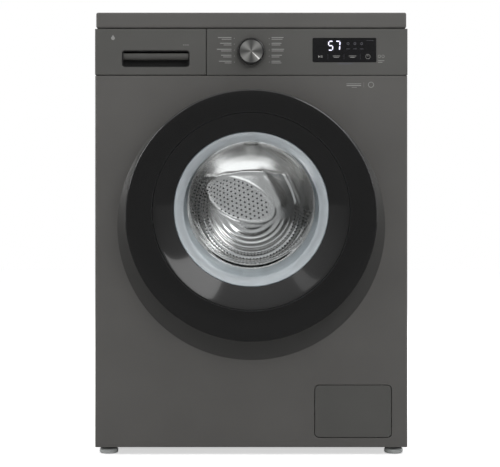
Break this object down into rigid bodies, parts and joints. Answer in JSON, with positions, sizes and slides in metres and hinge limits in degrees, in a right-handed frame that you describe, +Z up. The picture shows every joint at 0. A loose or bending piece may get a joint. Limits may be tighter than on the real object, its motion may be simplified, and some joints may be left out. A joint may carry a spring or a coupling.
{
  "type": "front load washing machine",
  "caption": "Free-standing front-load washing machine with a round glass door, a detergent drawer, a selector knob and a display.",
  "frame": {"origin": "on the floor under the middle of the whole machine, door and rear fittings included", "axes": "+Z up, the front faces -Y, +X to the right of a person in front of it"},
  "size_m": [0.6, 0.612, 0.85],
  "materials": {
    "painted_steel": "fine satin, warm dark grey",
    "zinc_steel": "galvanised, matt",
    "stainless": "bright, drawn",
    "grey_moulding": "fine grain, dark grey",
    "dark_moulding": "matt dark grey",
    "surround_moulding": "satin dark grey",
    "black_gloss": "polished black",
    "display_glass": "polished, near black",
    "pale_moulding": "pale grey",
    "tub_plastic": "filled polypropylene, grey",
    "gasket_rubber": "moulded grey rubber",
    "hose_rubber": "ribbed rubber",
    "door_glass": "clear, thick",
    "cast_aluminium": "as cast",
    "motor_core": "laminated, with windings",
    "concrete": "cast, rough",
    "circuit_board": "cased electronics",
    "knob_face": "turned face"
  },
  "bodies": {
    "cabinet": {"base_frame": "dark_moulding", "left_side_panel": "painted_steel", "right_side_panel": "painted_steel", "rear_panel": "painted_steel", "rear_access_cover": "zinc_steel", "front_panel": "painted_steel", "worktop": "grey_moulding", "control_panel": "grey_moulding", "display_window": "display_glass", "control_board": "circuit_board", "top_brace": "zinc_steel", "dispenser_housing": "pale_moulding", "inlet_valve": "pale_moulding", "door_surround": "surround_moulding", "hinge_bracket": "cast_aluminium", "hinge_pin": "stainless", "door_lock": "pale_moulding", "drain_pump": "dark_moulding", "drain_hose": "hose_rubber", "mains_gland": "dark_moulding", "damper_tube_left": "dark_moulding", "damper_tube_right": "dark_moulding"},
    "tub": {"tub_rear": "tub_plastic", "tub_front": "tub_plastic", "door_gasket": "gasket_rubber", "front_counterweight": "concrete", "top_counterweight": "concrete", "heater": "stainless", "stator": "motor_core", "front_bearing": "zinc_steel", "rear_bearing": "zinc_steel", "spring_left": "zinc_steel", "spring_right": "zinc_steel", "damper_rod_left": "zinc_steel", "damper_rod_right": "zinc_steel", "dispenser_hose": "hose_rubber", "sump_hose": "hose_rubber"},
    "drum": {"drum": "stainless", "drum_spider": "cast_aluminium", "rotor": "zinc_steel", "lifter_1": "pale_moulding", "lifter_2": "pale_moulding", "lifter_3": "pale_moulding"},
    "door": {"door_ring": "black_gloss", "door_cone": "black_gloss", "door_glass": "door_glass", "door_frame": "grey_moulding", "hinge_arm": "cast_aluminium"},
    "catch": {"door_hook": "zinc_steel"},
    "drawer": {"drawer_front": "grey_moulding", "drawer_tray": "pale_moulding", "softener_cap": "pale_moulding"},
    "selector": {"knob": "knob_face"},
    "flap": {"service_flap": "grey_moulding"},
    "filter": {"pump_filter": "pale_moulding"},
    "impeller": {"pump_impeller": "pale_moulding"},
    "front_left_foot": {"foot_front_left": "pale_moulding"},
    "front_right_foot": {"foot_front_right": "pale_moulding"},
    "rear_left_foot": {"foot_rear_left": "pale_moulding"},
    "rear_right_foot": {"foot_rear_right": "pale_moulding"}
  },
  "joints": [
    {"name": "door_hinge", "type": "hinge", "parent": "cabinet", "child": "door", "pos_m": [-0.226, -0.294, 0.46], "axis": [0, 0, -1], "range_deg": [0, 130]},
    {"name": "catch_pivot", "type": "hinge", "parent": "door", "child": "catch", "pos_m": [0.182, -0.268, 0.472], "axis": [0, 0, 1], "range_deg": [0, 5], "stiffness_Nm_per_rad": 0.5, "springref_deg": -5.73},
    {"name": "drum_spin", "type": "hinge", "parent": "tub", "child": "drum", "pos_m": [0, -0.186, 0.472], "axis": [0, -1, 0], "continuous": true},
    {"name": "tub_float", "type": "slide", "parent": "cabinet", "child": "tub", "axis": [0, 0, 1], "range_m": [-0.006, 0.006], "stiffness_N_per_m": 20000, "springref_m": 0.0218, "deforming": ["door_gasket", "spring_left", "spring_right", "dispenser_hose", "sump_hose"]},
    {"name": "drawer_slide", "type": "slide", "parent": "cabinet", "child": "drawer", "axis": [0, -1, 0], "range_m": [0, 0.2]},
    {"name": "selector_turn", "type": "hinge", "parent": "cabinet", "child": "selector", "pos_m": [0, -0.256, 0.774], "axis": [0, -1, 0], "continuous": true},
    {"name": "flap_hinge", "type": "hinge", "parent": "cabinet", "child": "flap", "pos_m": [0.1955, -0.2515, 0.0465], "axis": [1, 0, 0], "range_deg": [0, 100]},
    {"name": "filter_turn", "type": "hinge", "parent": "cabinet", "child": "filter", "pos_m": [0.195, -0.236, 0.085], "axis": [0, -1, 0], "range_deg": [0, 180]},
    {"name": "impeller_spin", "type": "hinge", "parent": "cabinet", "child": "impeller", "pos_m": [0.195, -0.166, 0.085], "axis": [0, -1, 0], "continuous": true},
    {"name": "front_left_foot_height", "type": "slide", "parent": "cabinet", "child": "front_left_foot", "axis": [0, 0, -1], "range_m": [0, 0.012]},
    {"name": "front_right_foot_height", "type": "slide", "parent": "cabinet", "child": "front_right_foot", "axis": [0, 0, -1], "range_m": [0, 0.012]},
    {"name": "rear_left_foot_height", "type": "slide", "parent": "cabinet", "child": "rear_left_foot", "axis": [0, 0, -1], "range_m": [0, 0.012]},
    {"name": "rear_right_foot_height", "type": "slide", "parent": "cabinet", "child": "rear_right_foot", "axis": [0, 0, -1], "range_m": [0, 0.012]}
  ]
}
